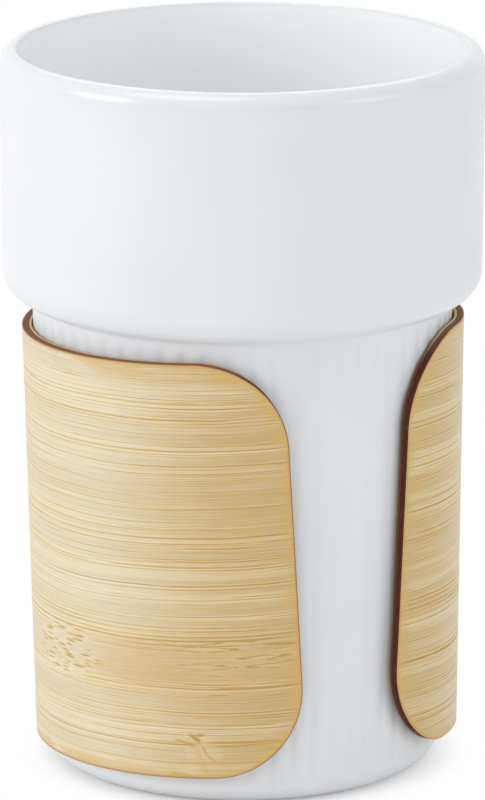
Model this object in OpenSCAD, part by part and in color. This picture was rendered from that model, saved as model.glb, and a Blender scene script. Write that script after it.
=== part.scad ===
// Porcelain tumbler with a wide plain band, a fluted lower body and a bent bamboo sleeve.
// Millimetres, +Z up. The origin is the middle of the foot on the table.
// The open side of the sleeve faces -Y.

/* [Porcelain band and lip] */
// Height of the cup from the table to the lip
cup_h = 121; // [105:0.5:140]
// Outer radius of the band at the lip
rim_r = 40; // [34:0.5:48]
// Wall thickness at the lip
rim_wall = 2.85; // [2.4:0.05:3.6]
// Share of the lip's thickness that the outer rounding takes, and the inner one has the rest
lip_outer_share = 0.84; // [0.5:0.01:0.9]
// Height of the band, from the lip down to the shoulder's underside
band_h = 41.6; // [34:0.2:50]
// Radius that the band loses from the lip down to the shoulder
band_draft = 0.2; // [0:0.1:0.5]
// Radius of the rounded corner at the bottom of the band
shoulder_r = 4.7; // [3.8:0.1:6]

/* [Porcelain lower body] */
// How far the neck ring under the shoulder stands in from the lip
shoulder_in = 5.1; // [4:0.1:7]
// Radius of the fillet between the neck ring and the shoulder
neck_fillet_r = 1; // [0.5:0.1:1.6]
// Height of the plain neck ring above the flutes
neck_ring_h = 1.1; // [0.6:0.1:3]
// Radius that the fluted wall loses from the neck ring down to the heel
body_taper = 1.9; // [1.2:0.1:3]
// Radius that the heel's curve loses down to the foot ring
heel_in = 5.7; // [4:0.1:8]
// Height of the heel's curve
heel_h = 4; // [3:0.1:6]
// Thickness of the floor of the cup above the table
floor_h = 5; // [4:0.1:7]
// Radius of the rounded corner inside, between the wall and the floor
inside_round_r = 8; // [4:0.5:12]

/* [Foot ring] */
// Width of the ring that stands on the table
foot_w = 2.8; // [1.5:0.1:4]
// Height of the hollow inside the foot ring
foot_rise = 1.2; // [0.6:0.1:2]

/* [Flutes] */
// Number of flutes round the lower body
flute_count = 60; // [40:1:72]
// Width of one flute
flute_w = 2.2; // [1.4:0.1:2.6]
// Depth of one flute
flute_depth = 0.28; // [0.15:0.01:0.4]
// Turn of the first flute from the back of the cup, in degrees
flute_turn = 2.3; // [0:0.1:6]

/* [Bamboo sleeve] */
// Height of the gap between the sleeve's upper edge and the shoulder's underside, at the back
sleeve_top_gap = 5.1; // [4:0.1:12]
// Radius of the strip's four corners
strip_corner_r = 15; // [8:0.5:20]
// Width of the open side, between the strip's two ends
mouth_w = 19.8; // [12:0.2:40]
// Height of the sleeve's lower edge above the table, at the back
sleeve_lift = 4; // [2:0.1:6]
// Thickness of the outer bamboo veneer
outer_ply_t = 0.45; // [0.3:0.05:0.6]
// Thickness of the bamboo core
core_ply_t = 0.6; // [0.4:0.05:1]
// Thickness of the inner bamboo veneer
inner_ply_t = 0.45; // [0.3:0.05:0.6]
// Thickness of each glue line between the layers
glue_t = 0.05; // [0.03:0.01:0.1]
// Clearance between the sleeve and the cup at the sleeve's top edge
clear_top = 0.3; // [0.2:0.05:0.6]
// Clearance between the sleeve and the cup at the sleeve's lower edge
clear_low = 0.85; // [0.3:0.05:1]
// Share of the lower clearance that the loose sleeve's lower edge hangs off towards +X
lean_share = 0.8; // [0:0.05:0.8]
// Share of the smaller clearance that the whole sleeve stands off towards its open side
forward_share = 0.55; // [0:0.05:0.55]

/* [Hidden] */

// Smoothness of turned shapes, and steps in each rounded corner of an outline
turned_fn = 180;
arc_steps = 8;
small_arc_steps = 5;

// Radii of the neck ring, of the wall where the heel's curve begins and of the foot
neck_r = rim_r - shoulder_in;
heel_r = neck_r - body_taper;
foot_r = heel_r - heel_in;

// Centre of the shoulder's rounded corner, as radius and height
shoulder_c = [rim_r - band_draft - shoulder_r, cup_h - band_h + shoulder_r];
// Centre of the fillet under it, which touches the corner and the neck ring
bend_reach = shoulder_r + neck_fillet_r;
bend_side = neck_r + neck_fillet_r - shoulder_c[0];
neck_c = [neck_r + neck_fillet_r, shoulder_c[1] - sqrt(bend_reach * bend_reach - bend_side * bend_side)];
// Direction from the fillet's centre to the shoulder's centre
bend_a = atan2(shoulder_c[1] - neck_c[1], shoulder_c[0] - neck_c[0]);

// The mouth is a true cylinder, and the wall inside follows the shoulder outside
mouth_r = rim_r - rim_wall;
lip_round_r = rim_wall * lip_outer_share;
lip_inner_r = rim_wall - lip_round_r;
inner_corner_r = mouth_r - shoulder_c[0];
inner_bend_r = bend_reach - inner_corner_r;
body_wall = shoulder_r - inner_corner_r;
inside_low_r = heel_r - body_wall;

// The tapered wall runs from the top of the heel to the bottom of the neck ring
wall_top_z = neck_c[1] - neck_ring_h;
wall_rise = wall_top_z - heel_h;
wall_lean = atan2(body_taper, wall_rise);
wall_len = norm([body_taper, wall_rise]);
function wall_r_at(z) = heel_r + body_taper * (z - heel_h) / wall_rise;

// A flute is cut by a round bar that lies along the wall and runs out in the heel
flute_bar_r = (flute_w * flute_w / 4 + flute_depth * flute_depth) / (2 * flute_depth);
flute_run_out = heel_h / 2;
flute_top_gap = neck_ring_h / 2;

// The strip's width is the height of the sleeve, between the gap at its top and the table
sleeve_top_z = cup_h - band_h - sleeve_top_gap;
strip_w = sleeve_top_z - sleeve_lift;
// The sleeve's inner face is a cone that clears the wall by one value at each edge
inner_face_top_r = wall_r_at(sleeve_top_z) + clear_top;
inner_face_low_r = wall_r_at(sleeve_lift) + clear_low;
cone_a = atan2(inner_face_top_r - inner_face_low_r, strip_w);
sleeve_t = outer_ply_t + core_ply_t + inner_ply_t + 2 * glue_t;
// The strip keeps its length on the middle of its thickness when it is bent
middle_r = (inner_face_top_r + inner_face_low_r) / 2 + sleeve_t / 2;
strip_l = 2 * PI * middle_r - mouth_w;
cone_l = middle_r / sin(cone_a);
strip_mid_z = sleeve_lift + strip_w / 2;
// The loose sleeve hangs a little askew on the cup, and touches it nowhere
lean_a = atan2(lean_share * clear_low, strip_w);
forward = forward_share * min(clear_top, clear_low);
// Half the strip's length without its corners, and half its width without them
straight_half_l = strip_l / 2 - strip_corner_r;
straight_half_w = strip_w / 2 - strip_corner_r;
// Facets of the bent strip: steps along its straight stretch, in each corner and across its width
bend_steps = 56;
corner_steps = 9;
width_steps = 4;

// Depth of each layer's two faces from the middle of the strip's thickness, outwards
outer_face = sleeve_t / 2;
inner_face = -sleeve_t / 2;
core_out_face = outer_face - outer_ply_t - glue_t;
core_in_face = core_out_face - core_ply_t;

porcelain = [0.95, 0.96, 0.97];
veneer = [0.90, 0.80, 0.58];
inner_veneer = [0.93, 0.86, 0.70];
charred_core = [0.34, 0.19, 0.13];

// Points of an arc, or of a quarter of an ellipse, in an outline of radius and height
function arc(centre, r_across, r_up, from_a, to_a, steps) =
    [for (k = [0:steps])
        let (a = from_a + (to_a - from_a) * k / steps)
        centre + [r_across * cos(a), r_up * sin(a)]];

// Point of the bent strip: u along the strip from its middle, v across it, n out of its middle face
function bent(u, v, n) =
    let (l = norm([u, cone_l + v]),
         turn = atan2(u, cone_l + v) / sin(cone_a),
         r = l * sin(cone_a) + n * cos(cone_a))
    [r * sin(turn), r * cos(turn), strip_mid_z + (l - cone_l) * cos(cone_a) - n * sin(cone_a)];

// Columns across the strip, each as its place along the strip and its half height
function corner_column(a) =
    [straight_half_l + strip_corner_r * sin(a), straight_half_w + strip_corner_r * cos(a)];
half_columns = [for (k = [1:corner_steps]) corner_column(90 * k / corner_steps)];
columns = concat(
    [for (k = [corner_steps - 1:-1:0]) [-half_columns[k][0], half_columns[k][1]]],
    [for (k = [0:bend_steps]) [straight_half_l * (2 * k / bend_steps - 1), strip_w / 2]],
    half_columns);

// Outline of the cup's wall, from the middle of its underside round the lip to its floor
module cup_outline() {
    underside = [[0, foot_rise], [foot_r - foot_w - foot_rise, foot_rise], [foot_r - foot_w, 0]];
    heel = arc([foot_r, heel_h], heel_in, heel_h, -90, 0, arc_steps);
    neck = concat([[neck_r, wall_top_z]],
        arc(neck_c, neck_fillet_r, neck_fillet_r, 180, bend_a, small_arc_steps));
    shoulder = arc(shoulder_c, shoulder_r, shoulder_r, bend_a - 180, 0, arc_steps);
    lip_out = arc([rim_r - lip_round_r, cup_h - lip_round_r], lip_round_r, lip_round_r, 0, 90, arc_steps);
    lip_in = arc([mouth_r + lip_inner_r, cup_h - lip_inner_r], lip_inner_r, lip_inner_r,
        90, 180, small_arc_steps);
    step_in = arc(shoulder_c, inner_corner_r, inner_corner_r, 0, bend_a - 180, small_arc_steps);
    step_out = arc(neck_c, inner_bend_r, inner_bend_r, bend_a, 180, arc_steps);
    inside = concat(
        arc([inside_low_r - inside_round_r, floor_h + inside_round_r], inside_round_r, inside_round_r,
            0, -90, arc_steps),
        [[0, floor_h]]);
    polygon(concat(underside, heel, neck, shoulder, lip_out, lip_in, step_in, step_out, inside));
}

// One flute's cutting bar, lying along the wall at the back of the cup
module flute_bar() {
    translate([0, heel_r, heel_h])
        rotate([-wall_lean, 0, 0])
            translate([0, flute_bar_r - flute_depth, -flute_run_out])
                cylinder(r = flute_bar_r, h = wall_len + flute_run_out - flute_top_gap, $fn = turned_fn);
}

module cup_body() {
    color(porcelain)
        difference() {
            rotate_extrude($fn = turned_fn) cup_outline();
            for (k = [0:flute_count - 1])
                rotate([0, 0, flute_turn + 360 * k / flute_count]) flute_bar();
        }
}

// One layer of the bent strip, between two depths from the middle of its thickness
module ply(in_face, out_face) {
    last = len(columns) - 1;
    rows = width_steps + 1;
    face_points = len(columns) * rows;
    points = [for (n = [in_face, out_face])
        for (c = columns)
            for (j = [0:width_steps])
                bent(c[0], c[1] * (2 * j / width_steps - 1), n)];
    // Index of a point by face, column and row
    function at(side, i, j) = side * face_points + i * rows + j;
    function quad(a, b, c, d) = [[a, b, c], [a, c, d]];
    skins = [for (i = [0:last - 1])
        for (j = [0:width_steps - 1])
            each concat(
                quad(at(1, i, j), at(1, i, j + 1), at(1, i + 1, j + 1), at(1, i + 1, j)),
                quad(at(0, i, j), at(0, i + 1, j), at(0, i + 1, j + 1), at(0, i, j + 1)))];
    long_edges = [for (i = [0:last - 1])
        each concat(
            quad(at(0, i, 0), at(1, i, 0), at(1, i + 1, 0), at(0, i + 1, 0)),
            quad(at(0, i, width_steps), at(0, i + 1, width_steps), at(1, i + 1, width_steps),
                at(1, i, width_steps)))];
    end_edges = [for (j = [0:width_steps - 1])
        each concat(
            quad(at(0, 0, j), at(0, 0, j + 1), at(1, 0, j + 1), at(1, 0, j)),
            quad(at(0, last, j), at(1, last, j), at(1, last, j + 1), at(0, last, j + 1)))];
    translate([0, -forward, sleeve_top_z])
        rotate([0, -lean_a, 0])
            translate([0, 0, -sleeve_top_z])
                polyhedron(points = points, faces = concat(skins, long_edges, end_edges), convexity = 4);
}

module sleeve_outer_veneer() {
    color(veneer) ply(outer_face - outer_ply_t, outer_face);
}

module sleeve_core() {
    color(charred_core) ply(core_in_face, core_out_face);
}

module sleeve_inner_veneer() {
    color(inner_veneer) ply(inner_face, inner_face + inner_ply_t);
}

cup_body();
sleeve_outer_veneer();
sleeve_core();
sleeve_inner_veneer();
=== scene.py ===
import math
from itertools import count

import bpy
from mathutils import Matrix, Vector


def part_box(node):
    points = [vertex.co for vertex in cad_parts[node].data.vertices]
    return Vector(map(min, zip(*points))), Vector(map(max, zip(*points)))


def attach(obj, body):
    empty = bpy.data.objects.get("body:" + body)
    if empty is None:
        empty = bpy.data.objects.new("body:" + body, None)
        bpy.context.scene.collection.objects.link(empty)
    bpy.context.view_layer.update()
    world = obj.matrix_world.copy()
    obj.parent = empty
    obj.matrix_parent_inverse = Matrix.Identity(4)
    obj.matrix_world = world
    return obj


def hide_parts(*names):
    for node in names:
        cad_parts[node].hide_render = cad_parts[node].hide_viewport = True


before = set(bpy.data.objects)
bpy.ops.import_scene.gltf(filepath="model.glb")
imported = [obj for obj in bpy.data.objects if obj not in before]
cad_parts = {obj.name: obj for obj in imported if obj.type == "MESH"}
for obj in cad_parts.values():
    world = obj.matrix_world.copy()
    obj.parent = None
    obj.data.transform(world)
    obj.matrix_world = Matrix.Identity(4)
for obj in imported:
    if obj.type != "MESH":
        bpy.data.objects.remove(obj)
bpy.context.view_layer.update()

MM = 0.001
cup_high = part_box("cup_body")[1]

# Porcelain: sizes of the CAD source, whose outer radius and height come from the frame
RIM_R = cup_high.x / MM
CUP_H = cup_high.z / MM
RIM_WALL = 2.85
LIP_OUTER_SHARE = 0.84
BAND_H = 41.6
BAND_DRAFT = 0.2
SHOULDER_R = 4.7
SHOULDER_IN = 5.1
NECK_FILLET_R = 1.0
NECK_RING_H = 1.1
BODY_TAPER = 1.9
HEEL_IN = 5.7
HEEL_H = 4.0
FLOOR_H = 5.0
INSIDE_ROUND_R = 8.0
FOOT_W = 2.8
FOOT_RISE = 1.2

NECK_R = RIM_R - SHOULDER_IN
HEEL_R = NECK_R - BODY_TAPER
FOOT_R = HEEL_R - HEEL_IN
SHOULDER_C = (RIM_R - BAND_DRAFT - SHOULDER_R, CUP_H - BAND_H + SHOULDER_R)
BEND_REACH = SHOULDER_R + NECK_FILLET_R
BEND_SIDE = NECK_R + NECK_FILLET_R - SHOULDER_C[0]
NECK_C = (NECK_R + NECK_FILLET_R, SHOULDER_C[1] - math.sqrt(BEND_REACH ** 2 - BEND_SIDE ** 2))
BEND_A = math.degrees(math.atan2(SHOULDER_C[1] - NECK_C[1], SHOULDER_C[0] - NECK_C[0]))
MOUTH_R = RIM_R - RIM_WALL
LIP_ROUND_R = RIM_WALL * LIP_OUTER_SHARE
LIP_INNER_R = RIM_WALL - LIP_ROUND_R
INNER_CORNER_R = MOUTH_R - SHOULDER_C[0]
INNER_BEND_R = BEND_REACH - INNER_CORNER_R
INSIDE_LOW_R = HEEL_R - (SHOULDER_R - INNER_CORNER_R)
WALL_TOP_Z = NECK_C[1] - NECK_RING_H

# The scene's own: rounding of the foot ring's inner edge, and height of its bare clay
FOOT_EDGE_R = 0.5
BARE_H = 0.35
# How far under the rim the lip's glossy glaze begins and is full, outside and inside; there its
# colour is darker, as painted shade on the lip
LIP_FADE_OUTSIDE = (3.3, 1.9)
LIP_FADE_INSIDE = (0.6, 0.2)
# Steps in each arc of the outline and round the cup, the longest straight step, the distance of
# the point that ends each straight stretch, and the gap from which two arcs are joined by one
ARC_STEPS = {
    "foot": 4, "heel": 18, "neck": 8, "shoulder": 18, "lip_out": 12, "lip_in": 6,
    "step_in": 10, "step_out": 12, "floor": 12,
}
TURNED_STEPS = 720
STRAIGHT_STEP = 2.2
END_STEP = 0.3
JOINED_GAP = 1.0
SAME_PLACE = 1e-6

# Flutes: soft valleys that run out at both ends. Between the four heights of FLUTE_MIDDLE the
# glaze fills them, down to a share of their depth
FLUTES = 60
FLUTE_W = 2.6
FLUTE_DEPTH = 0.19
FLUTE_MIDDLE_SHARE = 0.3
FLUTE_TURN = 2.3
FLUTE_END_Z = 2.2
FLUTE_START_Z = 6.5
FLUTE_TOP_FADE = 0.9
FLUTE_MIDDLE = (7, 24, 70, 75.5)

# Bamboo sleeve: a flat strip with rounded corners, bent to a cone, of three plies
STRIP_CORNER_R = 15.0
MOUTH_W = 19.8
SLEEVE_LIFT = 4.0
SLEEVE_TOP_GAP = 5.1
OUTER_PLY_T = 0.45
CORE_PLY_T = 0.6
INNER_PLY_T = 0.45
GLUE_T = 0.05
CLEAR_TOP = 0.3
CLEAR_LOW = 0.85
LEAN_SHARE = 0.8
FORWARD_SHARE = 0.55

SLEEVE_TOP_Z = CUP_H - BAND_H - SLEEVE_TOP_GAP
STRIP_W = SLEEVE_TOP_Z - SLEEVE_LIFT
SLEEVE_T = OUTER_PLY_T + CORE_PLY_T + INNER_PLY_T + 2 * GLUE_T


def wall_r(z):
    """Outer radius of the plain wall of the lower body."""
    return HEEL_R + BODY_TAPER * (z - HEEL_H) / (WALL_TOP_Z - HEEL_H)


INNER_TOP_R = wall_r(SLEEVE_TOP_Z) + CLEAR_TOP
INNER_LOW_R = wall_r(SLEEVE_LIFT) + CLEAR_LOW
CONE_A = math.atan2(INNER_TOP_R - INNER_LOW_R, STRIP_W)
MIDDLE_R = (INNER_TOP_R + INNER_LOW_R + SLEEVE_T) / 2
STRIP_L = 2 * math.pi * MIDDLE_R - MOUTH_W
CONE_L = MIDDLE_R / math.sin(CONE_A)
STRIP_MID_Z = SLEEVE_LIFT + STRIP_W / 2
LEAN_A = math.atan2(LEAN_SHARE * CLEAR_LOW, STRIP_W)
FORWARD = FORWARD_SHARE * min(CLEAR_TOP, CLEAR_LOW)
# Steps across the strip, in each corner, round the bend and in each rounded edge
ACROSS_STEPS = 10
CORNER_STEPS = 24
BEND_STEPS = 130
EDGE_STEPS = 3
# Radius of each ply's edges, and how far in from them its faces have their first points
EDGE_ROUND = 0.09
EDGE_SUPPORT = 0.4


def curve(centre, across, up, start, end, steps):
    """Points of an arc, or of a part of an ellipse, as radius and height."""
    turns = [math.radians(start + (end - start) * k / steps) for k in range(steps + 1)]
    return [(centre[0] + across * math.cos(a), centre[1] + up * math.sin(a)) for a in turns]


def arc(centre, radius, start, end, steps):
    """Points of an arc from one angle to another, in degrees."""
    return curve(centre, radius, radius, start, end, steps)


def straight(start, end):
    """Points between two ends, without the ends, and with one close to each for true shading."""
    length = math.dist(start, end)
    inner = max(1, round(length / STRAIGHT_STEP))
    near = END_STEP / length
    places = [near] + [k / inner for k in range(1, inner)] + [1 - near]
    return [tuple(a + (b - a) * t for a, b in zip(start, end)) for t in places if 0 < t < 1]


def joined(*parts):
    """One outline through the given arcs, with straight stretches between them where they part."""
    outline = list(parts[0])
    for part in parts[1:]:
        if math.dist(outline[-1], part[0]) > JOINED_GAP:
            outline += straight(outline[-1], part[0])
        outline += [p for p in part if math.dist(p, outline[-1]) > SAME_PLACE]
    return outline


def cup_outline():
    """Radius and height round the wall: underside, foot, outside and lip, then the inside."""
    steps = ARC_STEPS
    underside = [(0, FOOT_RISE), (FOOT_R - FOOT_W - FOOT_RISE, FOOT_RISE)]
    foot_c = (FOOT_R - FOOT_W + FOOT_EDGE_R, FOOT_EDGE_R)
    foot_in = arc(foot_c, FOOT_EDGE_R, 200, 270, steps["foot"])
    heel = curve((FOOT_R, HEEL_H), HEEL_IN, HEEL_H, -90, 0, steps["heel"])
    neck = [(NECK_R, WALL_TOP_Z)] + arc(NECK_C, NECK_FILLET_R, 180, BEND_A, steps["neck"])
    shoulder = arc(SHOULDER_C, SHOULDER_R, BEND_A - 180, 0, steps["shoulder"])
    lip_out_c = (RIM_R - LIP_ROUND_R, CUP_H - LIP_ROUND_R)
    lip_out = arc(lip_out_c, LIP_ROUND_R, 0, 90, steps["lip_out"])
    lip_in_c = (MOUTH_R + LIP_INNER_R, CUP_H - LIP_INNER_R)
    lip_in = arc(lip_in_c, LIP_INNER_R, 90, 180, steps["lip_in"])
    outside = joined(underside, foot_in, heel, neck, shoulder, lip_out, lip_in[:1])
    step_in = arc(SHOULDER_C, INNER_CORNER_R, 0, BEND_A - 180, steps["step_in"])
    step_out = arc(NECK_C, INNER_BEND_R, BEND_A, 180, steps["step_out"])
    floor_c = (INSIDE_LOW_R - INSIDE_ROUND_R, FLOOR_H + INSIDE_ROUND_R)
    floor_round = arc(floor_c, INSIDE_ROUND_R, 0, -90, steps["floor"])
    inside = joined(lip_in[1:], step_in, step_out, floor_round, [(0, FLOOR_H)])
    return outside, inside


def smooth(low, high, value):
    """0 below low, 1 above high, and a soft rise between."""
    t = min(1.0, max(0.0, (value - low) / (high - low)))
    return t * t * (3 - 2 * t)


def flute_dip(turn, z):
    """Depth of the flutes at a turn from the back, in degrees, and a height; 0 on plain parts."""
    pitch = 360 / FLUTES
    off = (turn - FLUTE_TURN + pitch / 2) % pitch - pitch / 2
    half_w = math.degrees(FLUTE_W / 2 / wall_r(z))
    if abs(off) >= half_w:
        return 0.0
    valley = (1 + math.cos(math.pi * off / half_w)) / 2
    low = smooth(FLUTE_END_Z, FLUTE_START_Z, z)
    high = 1 - smooth(WALL_TOP_Z - FLUTE_TOP_FADE / 2, WALL_TOP_Z + FLUTE_TOP_FADE / 2, z)
    filled = smooth(*FLUTE_MIDDLE[:2], z) * (1 - smooth(*FLUTE_MIDDLE[2:], z))
    return FLUTE_DEPTH * (1 - filled * (1 - FLUTE_MIDDLE_SHARE)) * valley * low * high


def piece(name, points, faces, body, node, material, layers):
    """A shown piece over its CAD node, from points in millimetres and named values for each."""
    mesh = bpy.data.meshes.new(name)
    mesh.from_pydata([Vector(p) * MM for p in points], [], faces)
    for layer, values in layers.items():
        wide = isinstance(values[0], tuple)
        made = mesh.attributes.new(layer, "FLOAT_VECTOR" if wide else "FLOAT", "POINT")
        flat = [x for value in values for x in value] if wide else values
        made.data.foreach_set("vector" if wide else "value", flat)
    mesh.materials.append(material)
    mesh.shade_smooth()
    mesh.validate()
    shown = bpy.data.objects.new(name, mesh)
    bpy.context.scene.collection.objects.link(shown)
    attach(shown, body)
    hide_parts(node)


def turned_faces(rows):
    """Faces between neighbouring turned rows, where a row on the axis is one point."""
    first = [0]
    for r, _, _ in rows:
        first.append(first[-1] + (TURNED_STEPS if r > 0 else 1))
    faces = []
    for k in range(len(rows) - 1):
        here, there = first[k], first[k + 1]
        for j in range(TURNED_STEPS):
            n = (j + 1) % TURNED_STEPS
            if rows[k][0] == 0:
                faces.append((here, there + n, there + j))
            elif rows[k + 1][0] == 0:
                faces.append((here + j, here + n, there))
            else:
                faces.append((here + j, here + n, there + n, there + j))
    return faces


def cup(material):
    """The porcelain body, turned from its outline, with the flutes pressed in on the outside."""
    outside, inside = cup_outline()
    rows = [(r, z, 0.0) for r, z in outside] + [(r, z, 1.0) for r, z in inside]
    fluted_from = next(k for k, (r, z) in enumerate(outside) if r > FOOT_R)
    fluted_to = next(k for k, (r, z) in enumerate(outside) if z > WALL_TOP_Z + FLUTE_TOP_FADE)
    points = []
    layers = {"inside": [], "lip": [], "valley": [], "bare": []}
    for k, (r, z, inner) in enumerate(rows):
        fade_low, fade_high = LIP_FADE_INSIDE if inner else LIP_FADE_OUTSIDE
        lip = smooth(CUP_H - fade_low, CUP_H - fade_high, z)
        for j in range(TURNED_STEPS if r > 0 else 1):
            turn = 360 * j / TURNED_STEPS
            dip = flute_dip(turn, z) if fluted_from <= k < fluted_to else 0.0
            a = math.radians(turn)
            points.append(((dip - r) * math.sin(a), (r - dip) * math.cos(a), z))
            # These carry the painted light inside, and the painted shade on the lip and in the
            # flute valleys
            layers["inside"].append(inner)
            layers["lip"].append(lip)
            layers["valley"].append(dip / FLUTE_DEPTH)
            layers["bare"].append(1.0 if z < BARE_H and not inner else 0.0)
    piece("cup", points, turned_faces(rows), "cup", "cup_body", material, layers)


def bent(u, v, n):
    """Point of the bent strip: u along it from its middle, v across it, n out of its mid face."""
    reach = math.hypot(u, CONE_L + v)
    turn = math.atan2(u, CONE_L + v) / math.sin(CONE_A)
    r = reach * math.sin(CONE_A) + n * math.cos(CONE_A)
    z = STRIP_MID_Z + (reach - CONE_L) * math.cos(CONE_A) - n * math.sin(CONE_A)
    x, y, drop = r * math.sin(turn), r * math.cos(turn), z - SLEEVE_TOP_Z
    lean_x = x * math.cos(LEAN_A) - drop * math.sin(LEAN_A)
    lean_z = x * math.sin(LEAN_A) + drop * math.cos(LEAN_A)
    return (lean_x, y - FORWARD, SLEEVE_TOP_Z + lean_z)


def flat_grid(inset):
    """Flat places over the strip in columns across it, drawn in by an inset from the outline."""
    half_w, corner = STRIP_W / 2 - inset, STRIP_CORNER_R - inset
    side = STRIP_L / 2 - STRIP_CORNER_R
    turns = [math.radians(90 * k / CORNER_STEPS) for k in range(1, CORNER_STEPS + 1)]
    right = [(side + corner * math.sin(a), half_w - corner * (1 - math.cos(a))) for a in turns]
    left = [(-u, half) for u, half in reversed(right)]
    middle = [(side * (2 * k / BEND_STEPS - 1), half_w) for k in range(BEND_STEPS + 1)]
    shares = [2 * j / ACROSS_STEPS - 1 for j in range(ACROSS_STEPS + 1)]
    return [[(u, half * share) for share in shares] for u, half in left + middle + right]


def rim_places(columns):
    """Column and row of each grid place on the outline, once round the strip."""
    low = [(i, 0) for i in range(columns)]
    right = [(columns - 1, j) for j in range(1, ACROSS_STEPS + 1)]
    high = [(i, ACROSS_STEPS) for i in range(columns - 2, -1, -1)]
    left = [(0, j) for j in range(ACROSS_STEPS - 1, 0, -1)]
    return low + right + high + left


def ply(name, in_face, out_face, node, material):
    """One layer of the bent strip, between two depths from its middle, with rounded edges."""
    low, high = in_face + EDGE_ROUND, out_face - EDGE_ROUND
    turns = [math.radians(90 * k / EDGE_STEPS) for k in range(EDGE_STEPS + 1)]
    outer_edge = [(EDGE_ROUND * (1 - math.sin(a)), high + EDGE_ROUND * math.cos(a)) for a in turns]
    inner_edge = [(inset, low + high - n) for inset, n in reversed(outer_edge)]
    loops = [(EDGE_SUPPORT, out_face)] + outer_edge + inner_edge + [(EDGE_SUPPORT, in_face)]
    face_grid = flat_grid(EDGE_SUPPORT)
    columns = len(face_grid)
    rim = rim_places(columns)
    flat, faces, edges = [], [], []
    for inset, n in loops:
        grid = flat_grid(inset)
        edges.append([len(flat) + k for k in range(len(rim))])
        flat += [(*grid[i][j], n) for i, j in rim]
    for above, below in zip(edges, edges[1:]):
        for k in range(len(rim)):
            m = (k + 1) % len(rim)
            faces.append((above[k], below[k], below[m], above[m]))
    for n, edge, outward in ((out_face, edges[0], True), (in_face, edges[-1], False)):
        at = dict(zip(rim, edge))
        for i in range(columns):
            for j in range(ACROSS_STEPS + 1):
                if (i, j) not in at:
                    at[i, j] = len(flat)
                    flat.append((*face_grid[i][j], n))
        for i in range(columns - 1):
            for j in range(ACROSS_STEPS):
                quad = (at[i, j], at[i + 1, j], at[i + 1, j + 1], at[i, j + 1])
                faces.append(quad if outward else quad[::-1])
    points = [bent(*place) for place in flat]
    piece(name, points, faces, "sleeve", node, material, {"flat": flat})


class Nodes:
    """Short calls that add shader nodes to a material; each gives the new node's output."""

    def __init__(self, name):
        self.material = bpy.data.materials.new(name)
        self.material.use_nodes = True
        self.tree = self.material.node_tree
        self.shader = self.tree.nodes["Principled BSDF"]

    def join(self, value, socket):
        if isinstance(value, bpy.types.NodeSocket):
            self.tree.links.new(value, socket)
        elif socket.type == "RGBA":
            socket.default_value = (*value, 1)
        else:
            socket.default_value = value

    def add(self, kind, inputs=(), **settings):
        node = self.tree.nodes.new(kind)
        for key, value in settings.items():
            setattr(node, key, value)
        for key, value in dict(inputs).items():
            self.join(value, node.inputs[key])
        return node

    def math(self, operation, *values):
        return self.add("ShaderNodeMath", enumerate(values), operation=operation).outputs[0]

    def chain(self, operation, values):
        total = values[0]
        for value in values[1:]:
            total = self.math(operation, total, value)
        return total

    def sum(self, *values):
        return self.chain("ADD", values)

    def times(self, *values):
        return self.chain("MULTIPLY", values)

    def greatest(self, *values):
        return self.chain("MAXIMUM", values)

    def less(self, value, other):
        return self.math("SUBTRACT", value, other)

    def over(self, value, other):
        return self.math("DIVIDE", value, other)

    def size(self, value):
        return self.math("ABSOLUTE", value)

    def length(self, x, y):
        return self.math("SQRT", self.sum(self.times(x, x), self.times(y, y)))

    def rise(self, value, low, high, to_low=0.0, to_high=1.0):
        """A soft change between two values while the input goes from low to high, or back."""
        inputs = {"Value": value, "From Min": low, "From Max": high}
        inputs.update({"To Min": to_low, "To Max": to_high})
        return self.add("ShaderNodeMapRange", inputs, interpolation_type="SMOOTHSTEP").outputs[0]

    def vector(self, x=0.0, y=0.0, z=0.0):
        return self.add("ShaderNodeCombineXYZ", {"X": x, "Y": y, "Z": z}).outputs[0]

    def noise(self, place, scale=1.0, detail=2.0, roughness=0.5):
        inputs = {"Vector": place, "Scale": scale, "Detail": detail, "Roughness": roughness}
        return self.add("ShaderNodeTexNoise", inputs).outputs["Fac"]

    def grain(self, place, rates, *last, **settings):
        """Noise at a flat place that changes at its own rate along each direction of it."""
        stretched = [self.times(x, rate) for x, rate in zip(place, rates)]
        return self.noise(self.vector(*stretched, *last), **settings)

    def blend(self, factor, first, second):
        """A colour between two colours."""
        mix = self.add("ShaderNodeMix", data_type="RGBA")
        for name, value in (("Factor_Float", factor), ("A_Color", first), ("B_Color", second)):
            self.join(value, next(s for s in mix.inputs if s.identifier == name))
        return next(s for s in mix.outputs if s.identifier == "Result_Color")

    def attribute(self, name, output="Fac"):
        return self.add("ShaderNodeAttribute", attribute_name=name).outputs[output]

    def flat_place(self):
        """Place along the strip, across it and out of its middle face, in millimetres."""
        flat = self.attribute("flat", "Vector")
        return self.add("ShaderNodeSeparateXYZ", {"Vector": flat}).outputs

    def bump(self, height, depth):
        inputs = {"Height": height, "Distance": depth * MM, "Strength": 1.0}
        self.join(self.add("ShaderNodeBump", inputs).outputs[0], self.shader.inputs["Normal"])


def srgb(*levels):
    """A colour as a screen shows it, from 0 to 255, as the linear colour that a shader takes."""
    shares = [level / 255 for level in levels]
    return tuple(c / 12.92 if c <= 0.04045 else ((c + 0.055) / 1.055) ** 2.4 for c in shares)
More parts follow.
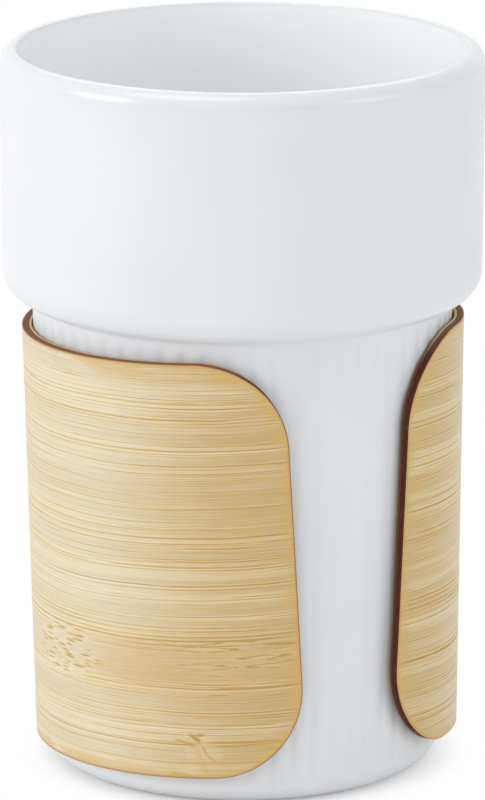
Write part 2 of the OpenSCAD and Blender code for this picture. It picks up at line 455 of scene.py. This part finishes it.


# Porcelain: colours, noise scales, shares of the deeper tone (random, and painted shade in the
# flute valleys), roughness and relief in millimetres
PORCELAIN = srgb(222, 224, 227)
PORCELAIN_DEEP = srgb(217, 220, 223)
# Inside: whiter glossy glaze, made brighter still as painted light on the inner wall
INSIDE_GLAZE_LIT = srgb(249, 251, 252)
# Lip: the same glossy glaze, darker as painted shade
LIP_GLAZE_SHADED = srgb(217, 220, 222)
BARE_CLAY = srgb(226, 222, 214)
CLOUD_SCALE = 45
SATIN_SCALE = 90
PEEL_SCALE = 420
CLAY_SCALE = 2600
CLOUD_RISE = (0.35, 0.65)
SATIN_RISE = (0.3, 0.7)
CLOUD_SHARE = 0.5
# Share of the deeper tone in the flute valleys: painted shade
VALLEY_SHADE_SHARE = 0.25
SATIN_ROUGH = (0.34, 0.40)
GLOSS_ROUGH = 0.2
CLAY_ROUGH = 0.75
PEEL_DEPTH = 0.006
GLAZE_IOR = 1.5

# Bamboo: colours of the wood, its lines and the scorch beside the cut, and painted light on it
# The face's paler colour away from the ends is partly painted sheen
STRAW = srgb(210, 199, 171)
STRAW_END = srgb(191, 163, 110)
STRAW_PALE = srgb(228, 217, 188)
STRAW_WARM = srgb(200, 165, 113)
GOLD_LINE = srgb(204, 172, 98)
BROWN_LINE = srgb(178, 138, 72)
# Pale places beside lines and marks: partly paler wood, partly painted glint
PALE_FIBRE_AND_GLINT = srgb(240, 230, 204)
SCORCH = srgb(194, 145, 72)
SCORCH_PALE = srgb(205, 168, 98)
# Pale thin line right along the cut edge: painted highlight
EDGE_HIGHLIGHT = srgb(226, 202, 164)
INNER_STRAW = srgb(214, 196, 156)
# Cut edge: charred where the ends cross the grain, and browned along it; the lighter brown along
# it is partly painted light from above
CHAR = srgb(86, 38, 21)
CHAR_INNER = srgb(98, 57, 34)
# Lighter brown of the long edges: partly browned wood, partly painted light from above
BROWNED_AND_LIT = srgb(130, 88, 64)
BROWNED_INNER = srgb(205, 182, 138)
# Where along the strip its face starts to darken and is darkest, towards either end; the paler
# face away from the ends is partly the wood's own tone and partly painted sheen
DARKER_LEFT = (-64, -96)
DARKER_RIGHT = (72, 100)
# Specular level of the varnished face and of the charred core, and roughness from smooth to rough
BAMBOO_GLOSS = 0.35
CHAR_GLOSS = 0.15
BAMBOO_ROUGH = (0.46, 0.72)
CHAR_ROUGH = (0.65, 0.85)
# Depth of the relief of the veneers and of the core, in millimetres, and shares of the veneers'
# that fibres raise and dark lines sink
GRAIN_DEPTH = 0.022
CHAR_DEPTH = 0.05
FIBRE_RELIEF = 0.5
LINE_RELIEF = -0.5

# Noise of the bamboo: rates of change per millimetre along and across the strip, and through it
DRIFT = (0.018, 0.04)
RIPPLE = (0.10, 0.2)
BANDS = (0.008, 0.35)
FIBRES = (0.10, 5.0)
MAIN_RUN = (0.035, 0.8)
MARK_WEAR = (0.5, 1.6)
SMOKE = (0.09, 0.35)
TEETH = (0.9, 0.9)
SOOT = (0.9, 0.9, 2.0)
CORE_SOOT = (0.8, 0.8, 3.0)
# How far drift and ripple carry the grain across the strip, in millimetres
DRIFT_REACH = 2.0
RIPPLE_REACH = 0.22
# How a noise or a line becomes a share of a colour: from one value to another, and both shares
BAND_PALE = (0.46, 0.66, 0.0, 0.40)
BAND_WARM = (0.46, 0.32, 0.0, 0.20)
FIBRE_GOLD = (0.48, 0.70, 0.0, 0.30)
FIBRE_PALE = (0.50, 0.30, 0.0, 0.30)
LINE_GOLD = (0.0, 0.5, 0.0, 0.72)
LINE_BROWN = (0.35, 1.0, 0.0, 0.72)
SOOT_BROWN = (0.45, 0.8, 0.0, 0.35)
CORE_RISE = (0.3, 0.7)
# Strength of the dark lines in the middle of the strip and at its ends, and of the pale ones,
# which are partly paler wood and partly painted glint
LINE_STRENGTH = (0.74, 1.5)
PALE_AND_GLINT_STRENGTH = 0.42
# Step from one layer's place in the noise to the next
SEED_STEP = 7.3


def porcelain():
    """Satin glaze outside, clear gloss on the lip and inside, bare clay where the foot stands."""
    g = Nodes("porcelain")
    place = g.add("ShaderNodeTexCoord").outputs["Object"]
    inside, lip, valley, bare = [g.attribute(name) for name in ("inside", "lip", "valley", "bare")]
    cloud = g.rise(g.noise(place, scale=CLOUD_SCALE, detail=3), *CLOUD_RISE)
    # Random deeper tone, and painted shade in the flute valleys
    deep = g.sum(g.times(cloud, CLOUD_SHARE), g.times(valley, VALLEY_SHADE_SHARE))
    tone = g.blend(deep, PORCELAIN, PORCELAIN_DEEP)
    clay_grain = g.noise(place, scale=CLAY_SCALE)
    clay = g.blend(clay_grain, BARE_CLAY, PORCELAIN)
    # Painted light on the inner wall and painted shade on the lip, over the glaze's own colour
    glaze_lit_and_shaded = g.blend(lip, g.blend(inside, tone, INSIDE_GLAZE_LIT), LIP_GLAZE_SHADED)
    g.join(g.blend(bare, glaze_lit_and_shaded, clay), g.shader.inputs["Base Color"])
    satin = g.rise(g.noise(place, scale=SATIN_SCALE), *SATIN_RISE, *SATIN_ROUGH)
    gloss = g.rise(g.greatest(inside, lip), 0.0, 1.0, satin, GLOSS_ROUGH)
    g.join(g.rise(bare, 0.0, 1.0, gloss, CLAY_ROUGH), g.shader.inputs["Roughness"])
    peel = g.noise(place, scale=PEEL_SCALE)
    g.bump(g.sum(peel, g.times(bare, clay_grain)), PEEL_DEPTH)
    g.shader.inputs["IOR"].default_value = GLAZE_IOR
    return g.material


# Grain of the bamboo, in flat places of the strip in millimetres.
# Each main line: place across the strip, width and strength
MAIN_LINES = (
    (27.4, 0.18, 0.65), (25.6, 0.15, 0.55), (20.5, 0.20, 0.75), (16.4, 0.14, 0.45),
    (11.7, 0.17, 0.60), (8.6, 0.15, 0.55), (7.2, 0.17, 0.70), (5.9, 0.21, 0.90),
    (4.9, 0.16, 0.75), (0.5, 0.17, 0.65), (-4.6, 0.14, 0.50), (-9.3, 0.19, 0.85),
    (-11.5, 0.22, 0.95), (-24.5, 0.15, 0.55),
)
# Noise from which a main line begins to show and is full, and the strength that it never loses
MAIN_SHOWN = (0.3, 0.55, 0.15)
# Layers of finer lines: how many to a millimetre, their width, the noise from which their run
# begins to show, and their strength
LINE_LAYERS = ((2.1, 0.10, 0.37, 0.80), (1.2, 0.13, 0.40, 1.0), (0.5, 0.18, 0.43, 1.0))
# Rate of change of a fine line's run along the strip, and spread of the lines in that noise
LAYER_RUN = 0.042
LAYER_SPREAD = 60.0
# How much more noise makes a fine line full, and its least and greatest share of the layer's
# width and strength
LAYER_SHOWN = 0.16
LAYER_WIDTHS = (0.6, 1.4)
LAYER_STRENGTHS = (0.2, 1.0)
# Off the middle of a line, in its own widths: where it begins and is full, and where the pale
# band beside it begins, is full, begins to fade and ends
MAIN_LINE = (1.0, 0.2)
MAIN_BESIDE = (0.8, 1.3, 1.7, 3.2)
FINE_LINE = (1.0, 0.15)
FINE_BESIDE = (0.8, 1.3, 1.6, 3.0)
MAIN_BESIDE_SHARE = 0.7
# Each node of the stalk: place along and across, half length and half width of its short marks
STALK_NODES = ((-57.5, -16.0, 10.5, 5.4), (18, 17, 9, 6), (52, -3, 9, 5))
# Where an oval patch begins and is full, as the square of its share of the half lengths
PATCH_SOFT = (1.0, 0.5)
# The warmer slat: its two edges across the strip and how soft they are, and where along the
# strip and across it the slat and its marks begin and are full, with the marks' least strength
WARM_EDGES = (-11.4, -21.5)
WARM_UPPER_SOFT = 0.15
WARM_LOWER_SOFT = (1.5, 2.5)
WARM_SHARE = 0.72
WARM_END = (-54, -80)
SLAT_END = (-74, -86, 0.35)
SLAT_FULL = (-19.5, -14.0, 0.3)
# Lens-shaped marks of a node and of the warm slat: their spacing along and across the strip
NODE_MARK = (4.4, 0.58)
SLAT_MARK = (13.0, 1.05)
# Form of the marks: scatter, roundness, least and greatest reach in shares of the spacing, how
# much wear adds to it, and which of the marks begin to show and are full
MARK_SCATTER = 0.85
MARK_LENS = 1.35
MARK_REACH = (0.18, 0.34)
MARK_UNEVEN = 0.2
MARK_SHOWN = (0.05, 0.4, 0.1)
# Off a mark's outline, in shares of the spacing: where its solid form, its outline, its pale
# middle and the pale rim round it begin and are full, and where the rim fades and ends
MARK_SOLID = (0.03, -0.16)
MARK_OUTLINE = (0.13, 0.02)
MARK_MIDDLE = (-0.06, -0.16)
MARK_RIM = (0.02, 0.08, 0.14, 0.26)
MARK_WORN = (0.3, 0.6, 0.3)
MARK_MIDDLE_SHARE = 0.8
MARK_RIM_SHARE = 0.7
# How far a node and the warm slat clear the finer lines away, and the shares of the dark and pale
# marks and of the bands beside the lines that show
NODE_CLEARS = 0.85
SLAT_CLEARS = 0.1
SLAT_DARK = 0.95
SLAT_PALE = 0.55
NODE_PALE = 0.8
BESIDE_PALE = 0.7
# Strokes of the knot and single dark dashes: two places, the width at each, and the strength
STROKES = (
    ((-82.0, -27.4), (-84.1, -28.9), 0.38, 0.69, 0.77),
    ((-83.3, -27.7), (-84.6, -27.6), 0.38, 0.33, 1.00),
    ((-79.5, -28.4), (-83.4, -29.6), 0.28, 0.60, 0.64),
    ((-84.3, -28.9), (-98.6, -29.0), 0.38, 0.20, 0.71),
    ((-84.9, -29.6), (-97.9, -29.5), 0.30, 0.18, 0.56),
    ((-84.2, -29.5), (-85.0, -31.2), 0.33, 0.28, 0.56),
    ((-84.9, -31.0), (-86.3, -32.4), 0.30, 0.25, 0.50),
    ((-83.4, -30.0), (-83.7, -32.3), 0.88, 1.19, 0.26),
    ((-83.7, -32.1), (-85.0, -34.4), 1.12, 0.75, 0.26),
    ((-78.4, -34.3), (-82.4, -34.8), 0.38, 0.50, 0.71),
    ((-86.8, -19.7), (-95.0, -19.8), 0.33, 0.25, 0.86),
    ((-85.4, -20.8), (-89.5, -20.8), 0.28, 0.20, 0.61),
    ((-94.6, -12.3), (-100.8, -12.7), 0.25, 0.43, 0.97),
)
# Shares of a stroke's length, from each end, in which it gains its strength from a least one, and
# of its width, from the side, in which it becomes full
STROKE_START = (0.0, 0.2, 0.35)
STROKE_END = (1.0, 0.75, 0.35)
STROKE_SOFT = (1.0, 0.25)
# Paler wood round the knot: place along and across, half length and half width
KNOT_HALO = (-84.4, -30.6, 3.6, 3.2)
HALO_STRENGTH = 0.4
# Beside the cut, in millimetres: least and greatest reach of the scorch and of the painted
# highlight along the edge, where the scorch's dark line begins and is full and the painted
# highlight is full, and how much smoke moves the line
SCORCH_WIDTH = (0.4, 3.6)
SCORCH_LINE = (0.8, 0.3)
SMOKE_UNEVEN = 0.5
EDGE_HIGHLIGHT_REACH = (0.08, 0.16)
EDGE_HIGHLIGHT_FULL = 0.05
# Noise between which their reach grows, and the shares of their colours that show
SMOKE_RISE = (0.35, 0.68)
TEETH_RISE = (0.35, 0.65)
SCORCH_SHARE = 0.85
EDGE_HIGHLIGHT_SHARE = 0.9
# Width of the cut edge seen on the face at the right and left end, the places along the strip
# between which it changes, and its width on the inner ply
CUT_W = (0.06, 0.20)
CUT_CHANGE = (10.0, -10.0)
INNER_CUT_W = 0.3
CUT_SHARP = 0.03
# Distance from the ends at which the charring begins and is full, and how ragged soot makes it
CHARRED = (11, 2)
CHAR_RAGGED = 3.0


def seeds():
    """A counter that gives each layer of lines its own place in the noise."""
    numbers = count(1)
    return lambda: SEED_STEP * next(numbers)


def edge_distance(g, u, v):
    """Distance in from the outline of the strip, in millimetres; 0 or less on its cut edge."""
    over_u = g.less(g.size(u), STRIP_L / 2 - STRIP_CORNER_R)
    over_v = g.less(g.size(v), STRIP_W / 2 - STRIP_CORNER_R)
    corner = g.length(g.greatest(over_u, 0.0), g.greatest(over_v, 0.0))
    inside = g.math("MINIMUM", g.greatest(over_u, over_v), 0.0)
    return g.less(STRIP_CORNER_R, g.sum(corner, inside))


def band(g, off, begin, full, fade, end):
    """1 between two distances from a line or an outline, and soft on both sides."""
    return g.times(g.rise(off, begin, full), g.rise(off, end, fade))


def line_layer(g, u, v, per_mm, width, lowest, seed):
    """Thin lines along the grain, unevenly spaced and strong, and the pale bands beside them."""
    across = {"W": g.sum(g.times(v, per_mm), seed), "Scale": 1.0}
    cells = g.add("ShaderNodeTexVoronoi", across, voronoi_dimensions="1D")
    own = g.add("ShaderNodeSeparateColor", {"Color": cells.outputs["Color"]}).outputs
    breadth = g.rise(own[1], 0.0, 1.0, *[width * per_mm * share for share in LAYER_WIDTHS])
    off = g.over(cells.outputs["Distance"], breadth)
    along = g.vector(g.times(u, LAYER_RUN), g.times(own[0], LAYER_SPREAD), seed)
    run = g.rise(g.noise(along, detail=3, roughness=0.6), lowest, lowest + LAYER_SHOWN)
    strength = g.times(run, g.rise(own[2], 0.0, 1.0, *LAYER_STRENGTHS))
    line = g.times(g.rise(off, *FINE_LINE), strength)
    return line, g.times(band(g, off, *FINE_BESIDE), strength)


def main_lines(g, u, v, seed):
    """The strongest lines, each at its own place, and the pale bands beside them."""
    run = g.rise(g.grain((u, v), MAIN_RUN, seed, detail=3, roughness=0.6), *MAIN_SHOWN)
    lines, besides = [], []
    for place, width, strength in MAIN_LINES:
        off = g.over(g.size(g.less(v, place)), width)
        lines.append(g.rise(off, *MAIN_LINE, 0.0, strength))
        besides.append(band(g, off, *MAIN_BESIDE))
    beside = g.times(g.greatest(*besides), run, MAIN_BESIDE_SHARE)
    return g.times(g.greatest(*lines), run), beside


def ellipse(g, u, v, place, across, half_u, half_v):
    """1 in the middle of an oval patch, and 0 outside it."""
    du = g.over(g.less(u, float(place)), float(half_u))
    dv = g.over(g.less(v, float(across)), float(half_v))
    return g.rise(g.sum(g.times(du, du), g.times(dv, dv)), *PATCH_SOFT)


def marks(g, u, v, spacing, hollow, seed):
    """Lens-shaped marks along the grain, solid or pale inside, and the pale rim round each."""
    place = g.vector(*[g.sum(g.over(x, gap), seed) for x, gap in zip((u, v), spacing)])
    form = {"Vector": place, "Scale": 1.0, "Randomness": MARK_SCATTER, "Exponent": MARK_LENS}
    cells = g.add("ShaderNodeTexVoronoi", form, distance="MINKOWSKI", voronoi_dimensions="2D")
    own = g.add("ShaderNodeSeparateColor", {"Color": cells.outputs["Color"]}).outputs
    worn = g.grain((u, v), MARK_WEAR, seed)
    reach = g.sum(g.rise(own[1], 0.0, 1.0, *MARK_REACH), g.times(worn, MARK_UNEVEN))
    off = g.less(cells.outputs["Distance"], reach)
    shown = g.rise(own[0], *MARK_SHOWN)
    rim = g.times(band(g, off, *MARK_RIM), shown, MARK_RIM_SHARE)
    if not hollow:
        return g.times(g.rise(off, *MARK_SOLID), shown), rim
    outline = g.times(g.rise(g.size(off), *MARK_OUTLINE), g.rise(worn, *MARK_WORN))
    middle = g.times(g.rise(off, *MARK_MIDDLE), shown, MARK_MIDDLE_SHARE)
    return g.times(outline, shown), g.greatest(middle, rim)


def stroke(g, u, v, start, end, width_start, width_end, strength):
    """A soft stroke from one flat place to another, tapering between its two widths."""
    along = Vector(end) - Vector(start)
    step = along / along.length_squared
    du, dv = g.less(u, start[0]), g.less(v, start[1])
    reach = g.sum(g.times(du, step.x), g.times(dv, step.y))
    share = g.math("MINIMUM", g.greatest(reach, 0.0), 1.0)
    off_u = g.less(du, g.times(share, along.x))
    off_v = g.less(dv, g.times(share, along.y))
    width = g.sum(width_start, g.times(share, width_end - width_start))
    ends = g.times(g.rise(share, *STROKE_START), g.rise(share, *STROKE_END))
    side = g.rise(g.over(g.length(off_u, off_v), width), *STROKE_SOFT)
    return g.times(side, ends, strength)


def wavy(g, u, straight_v, seed):
    """Place across the strip as the grain sees it, with a slow drift and a small ripple."""
    drift = g.grain((u, straight_v), DRIFT, seed())
    ripple = g.grain((u, straight_v), RIPPLE, seed(), detail=1)
    sway = g.times(g.less(drift, 0.5), DRIFT_REACH), g.times(g.less(ripple, 0.5), RIPPLE_REACH)
    return g.sum(straight_v, g.sum(*sway))


def warm_slat(g, u, v):
    """1 on the warmer slat, with a sharp upper and a soft lower edge; it fades along the strip."""
    upper, lower = WARM_EDGES
    below = g.rise(v, upper + WARM_UPPER_SOFT, upper - WARM_UPPER_SOFT)
    above = g.rise(v, lower - WARM_LOWER_SOFT[0], lower + WARM_LOWER_SOFT[1])
    return g.times(below, above, g.rise(u, *WARM_END))


def wood(g, u, v, straw, toward_end, warm, seed):
    """Colour of the wood between its lines, and its fine fibres."""
    bands = g.grain((u, v), BANDS, seed(), detail=3, roughness=0.55)
    # Paler away from the ends: partly the wood's own tone, partly painted sheen
    colour = g.blend(toward_end, *straw)
    colour = g.blend(g.rise(bands, *BAND_PALE), colour, STRAW_PALE)
    colour = g.blend(g.rise(bands, *BAND_WARM), colour, STRAW_WARM)
    colour = g.blend(g.times(warm, WARM_SHARE), colour, STRAW_WARM)
    fibres = g.grain((u, v), FIBRES, seed(), detail=3, roughness=0.7)
    colour = g.blend(g.rise(fibres, *FIBRE_GOLD), colour, GOLD_LINE)
    colour = g.blend(g.rise(fibres, *FIBRE_PALE), colour, STRAW_PALE)
    return colour, fibres


def knot_strokes(g, u, v):
    """The knot's strokes, and the paler wood round it."""
    knot = g.greatest(*[stroke(g, u, v, *line) for line in STROKES])
    return knot, g.times(ellipse(g, u, v, *KNOT_HALO), HALO_STRENGTH)


def lines_and_marks(g, u, v, warm, knot, halo, seed):
    """All dark lines and marks on the wood, and the pale places beside them."""
    patches = g.greatest(*[ellipse(g, u, v, *node) for node in STALK_NODES])
    cleared = g.less(1.0, g.times(patches, NODE_CLEARS))
    clear = g.times(cleared, g.less(1.0, g.times(warm, SLAT_CLEARS)))
    lines, besides = main_lines(g, u, v, seed())
    for per_mm, width, lowest, strength in LINE_LAYERS:
        line, beside = line_layer(g, u, v, per_mm, width, lowest, seed())
        lines = g.greatest(lines, g.times(line, clear, strength))
        besides = g.greatest(besides, g.times(beside, clear, strength))
    node_dark, node_pale = marks(g, u, v, NODE_MARK, False, seed())
    slat_dark, slat_pale = marks(g, u, v, SLAT_MARK, True, seed())
    slatted = g.times(warm, g.rise(u, *SLAT_END), g.rise(v, *SLAT_FULL))
    dark = g.times(node_dark, patches), g.times(slat_dark, slatted, SLAT_DARK), knot
    # Pale places beside the lines and marks: paler wood and painted glint
    pale = g.times(node_pale, patches, NODE_PALE), g.times(slat_pale, slatted, SLAT_PALE), halo
    return g.greatest(lines, *dark), g.greatest(g.times(besides, BESIDE_PALE), *pale)


def scorched(g, colour, inward, u, v, toward_end, seed):
    """The colour with a golden scorch and its dark line beside the cut, and a painted edge
    highlight.
    """
    smoke = g.grain((u, v), SMOKE, seed(), detail=3)
    reach = g.sum(g.rise(smoke, *SMOKE_RISE, *SCORCH_WIDTH), toward_end)
    scorch = g.less(1.0, g.math("MINIMUM", g.over(inward, reach), 1.0))
    colour = g.blend(g.times(scorch, SCORCH_SHARE), colour, SCORCH_PALE)
    uneven = g.sum(inward, g.times(smoke, SMOKE_UNEVEN))
    colour = g.blend(g.rise(uneven, *SCORCH_LINE, 0.0, SCORCH_SHARE), colour, SCORCH)
    # Thin pale line at the edge, with a scalloped reach: painted highlight
    teeth = g.grain((u, v), TEETH, seed(), detail=1)
    edge_highlight = g.rise(inward, g.rise(teeth, *TEETH_RISE, *EDGE_HIGHLIGHT_REACH), EDGE_HIGHLIGHT_FULL)
    return g.blend(g.times(edge_highlight, EDGE_HIGHLIGHT_SHARE), colour, EDGE_HIGHLIGHT)


def cut_edge(g, u, soot, end_colour, long_colour):
    """Colour of the cut: charred across the grain at the ends; browned and partly painted light
    along it.
    """
    ragged = g.sum(g.size(u), g.times(soot, CHAR_RAGGED))
    ends = g.rise(ragged, *[STRIP_L / 2 - inset for inset in CHARRED])
    colour = g.blend(ends, long_colour, end_colour)
    return g.blend(g.rise(soot, *SOOT_BROWN), colour, BROWNED_AND_LIT)


def bamboo(name, face, straw, cut_colours):
    """Bamboo veneer: straw face with its grain, a golden scorch beside the cut, and the cut."""
    g = Nodes(name)
    seed = seeds()
    u, straight_v, n = g.flat_place()
    v = wavy(g, u, straight_v, seed)
    toward_end = g.greatest(g.rise(u, *DARKER_LEFT), g.rise(u, *DARKER_RIGHT))
    warm = warm_slat(g, u, v)
    colour, fibres = wood(g, u, v, straw, toward_end, warm, seed)

    knot, halo = knot_strokes(g, u, straight_v) if face else (0.0, 0.0)
    dark, pale = lines_and_marks(g, u, v, warm, knot, halo, seed)
    deeper = g.greatest(g.times(dark, g.rise(toward_end, 0.0, 1.0, *LINE_STRENGTH)), knot)
    # Paler wood and painted glint beside the lines and marks, and round the knot
    colour = g.blend(g.times(pale, PALE_AND_GLINT_STRENGTH), colour, PALE_FIBRE_AND_GLINT)
    colour = g.blend(g.rise(deeper, *LINE_GOLD), colour, GOLD_LINE)
    colour = g.blend(g.rise(deeper, *LINE_BROWN), colour, BROWN_LINE)

    inward = edge_distance(g, u, straight_v)
    colour = scorched(g, colour, inward, u, straight_v, toward_end, seed)
    soot = g.grain((u, straight_v, n), SOOT, detail=3)
    cut_w = g.rise(u, *CUT_CHANGE, *CUT_W) if face else INNER_CUT_W
    cut = g.rise(inward, cut_w, CUT_SHARP)
    colour = g.blend(cut, colour, cut_edge(g, u, soot, *cut_colours))
    g.join(colour, g.shader.inputs["Base Color"])

    g.shader.inputs["Specular IOR Level"].default_value = BAMBOO_GLOSS
    rough = g.rise(g.greatest(dark, cut), 0.0, 1.0, *BAMBOO_ROUGH)
    g.join(rough, g.shader.inputs["Roughness"])
    raised = g.sum(g.times(fibres, FIBRE_RELIEF), g.times(dark, LINE_RELIEF))
    g.bump(g.sum(raised, g.times(soot, cut)), GRAIN_DEPTH)
    return g.material


def charred_core():
    """Core of the sheet, shown only at the cut: cross grain charred; along it browned, partly
    painted light.
    """
    g = Nodes("bamboo_core")
    place = g.flat_place()
    soot = g.grain(place, CORE_SOOT, detail=4, roughness=0.6)
    g.join(cut_edge(g, place[0], soot, CHAR, BROWNED_AND_LIT), g.shader.inputs["Base Color"])
    g.shader.inputs["Specular IOR Level"].default_value = CHAR_GLOSS
    g.join(g.rise(soot, *CORE_RISE, *CHAR_ROUGH), g.shader.inputs["Roughness"])
    g.bump(soot, CHAR_DEPTH)
    return g.material


def sleeve():
    """The three plies, from the outside in, with a thin glue line between them."""
    outer = bamboo("bamboo_outer", True, (STRAW, STRAW_END), (CHAR, BROWNED_AND_LIT))
    inner_straw, inner_cut = (INNER_STRAW, INNER_STRAW), (CHAR_INNER, BROWNED_INNER)
    inner = bamboo("bamboo_inner", False, inner_straw, inner_cut)
    top = SLEEVE_T / 2
    core_top = top - OUTER_PLY_T - GLUE_T
    ply("outer_veneer", top - OUTER_PLY_T, top, "sleeve_outer_veneer", outer)
    ply("core", core_top - CORE_PLY_T, core_top, "sleeve_core", charred_core())
    ply("inner_veneer", -top, -top + INNER_PLY_T, "sleeve_inner_veneer", inner)


# Camera, fitted to the photograph: turn off the -Y axis, distance from the axis and height in
# millimetres, tilt in degrees, focal length, and nearest and farthest distance in metres
CAMERA_TURN = -29.58
CAMERA_REACH = 1050.9
CAMERA_H = 333.2
CAMERA_DOWN = 14.533
CAMERA_LENS = 292.77
CAMERA_CLIP = (0.01, 20)
# Each lamp: turn from the camera, height, distance and size in millimetres, watts and colour
LAMPS = {
    "left": (-68, 330, 975, 600, 3.1, (1.0, 0.985, 0.97)),
    "right": (62, 320, 1000, 560, 1.7, (1.0, 0.998, 0.995)),
    "top": (-55, 1200, 400, 850, 4.2, (1.0, 1.0, 1.0)),
    "back": (180, 900, 900, 800, 1.5, (0.98, 0.99, 1.0)),
}
SKY = (0.98, 0.99, 1.0)
SKY_STRENGTH = 0.7
WHITE = (1.0, 1.0, 1.0)
# Floor: half its width in millimetres, its paint, and the distances in metres from the middle
# between which the shadow that the camera sees gives way to plain white
FLOOR_R = 3000
FLOOR_PAINT = (0.92, 0.92, 0.92)
FLOOR_ROUGH = 0.9
FLOOR_GLOSS = 0.1
SHADOW_NEAR = 0.024
SHADOW_FAR = 0.039


def around(turn, reach, height):
    """A place in metres from a turn off the -Y axis, and a distance and height in millimetres."""
    a = math.radians(turn)
    return Vector((reach * math.sin(a), -reach * math.cos(a), height)) * MM


def camera():
    """The photograph's view."""
    data = bpy.data.cameras.new("camera")
    data.lens = CAMERA_LENS
    data.clip_start, data.clip_end = CAMERA_CLIP
    made = bpy.data.objects.new("camera", data)
    made.location = around(CAMERA_TURN, CAMERA_REACH, CAMERA_H)
    made.rotation_euler = (math.radians(90 - CAMERA_DOWN), 0, math.radians(CAMERA_TURN))
    bpy.context.scene.collection.objects.link(made)
    bpy.context.scene.camera = made


def lamps():
    """Soft round lamps that face the middle of the cup."""
    aim = Vector((0, 0, CUP_H / 2)) * MM
    for name, (turn, height, reach, size, watts, colour) in LAMPS.items():
        data = bpy.data.lights.new(name, "AREA")
        data.shape = "DISK"
        data.size = size * MM
        data.energy = watts
        data.color = colour
        made = bpy.data.objects.new(name, data)
        made.location = around(CAMERA_TURN + turn, reach, height)
        made.rotation_euler = (aim - made.location).to_track_quat("-Z", "Y").to_euler()
        bpy.context.scene.collection.objects.link(made)


def plain_white(tree, path):
    """1 for rays that should find a white background: seen straight, in a gloss or in glass."""
    seen = path.outputs["Is Camera Ray"]
    for ray in ("Is Glossy Ray", "Is Transmission Ray"):
        both = tree.nodes.new("ShaderNodeMath")
        both.operation = "MAXIMUM"
        tree.links.new(seen, both.inputs[0])
        tree.links.new(path.outputs[ray], both.inputs[1])
        seen = both.outputs[0]
    return seen


def sky():
    """Even light all round, and plain white where camera, gloss or glass look past the floor."""
    world = bpy.data.worlds.new("sky")
    world.use_nodes = True
    bpy.context.scene.world = world
    tree = world.node_tree
    light = tree.nodes["Background"]
    light.inputs["Color"].default_value = (*SKY, 1)
    light.inputs["Strength"].default_value = SKY_STRENGTH
    white = tree.nodes.new("ShaderNodeBackground")
    white.inputs["Color"].default_value = (*WHITE, 1)
    path = tree.nodes.new("ShaderNodeLightPath")
    mix = tree.nodes.new("ShaderNodeMixShader")
    tree.links.new(plain_white(tree, path), mix.inputs[0])
    tree.links.new(light.outputs[0], mix.inputs[1])
    tree.links.new(white.outputs[0], mix.inputs[2])
    tree.links.new(mix.outputs[0], tree.nodes["World Output"].inputs["Surface"])


def floor():
    """Plain pale floor, with the soft shadow close to the foot and plain white further out."""
    g = Nodes("floor")
    place = g.add("ShaderNodeTexCoord").outputs["Object"]
    reach = g.add("ShaderNodeVectorMath", {0: place}, operation="LENGTH").outputs["Value"]
    g.shader.inputs["Base Color"].default_value = (*FLOOR_PAINT, 1)
    g.shader.inputs["Roughness"].default_value = FLOOR_ROUGH
    g.shader.inputs["Specular IOR Level"].default_value = FLOOR_GLOSS
    white = g.add("ShaderNodeEmission", {"Color": WHITE, "Strength": 1.0}).outputs[0]
    seen = plain_white(g.tree, g.add("ShaderNodeLightPath"))
    far = g.times(seen, g.rise(reach, SHADOW_NEAR, SHADOW_FAR))
    mix = g.add("ShaderNodeMixShader", {0: far, 1: g.shader.outputs[0], 2: white}).outputs[0]
    g.join(mix, g.tree.nodes["Material Output"].inputs["Surface"])
    mesh = bpy.data.meshes.new("floor")
    corners = [(-1, -1, 0), (1, -1, 0), (1, 1, 0), (-1, 1, 0)]
    mesh.from_pydata([Vector(corner) * FLOOR_R * MM for corner in corners], [], [(0, 1, 2, 3)])
    mesh.materials.append(g.material)
    made = bpy.data.objects.new("floor", mesh)
    bpy.context.scene.collection.objects.link(made)


camera()
lamps()
sky()
floor()
cup(porcelain())
sleeve()
bpy.context.scene.view_settings.view_transform = "Standard"
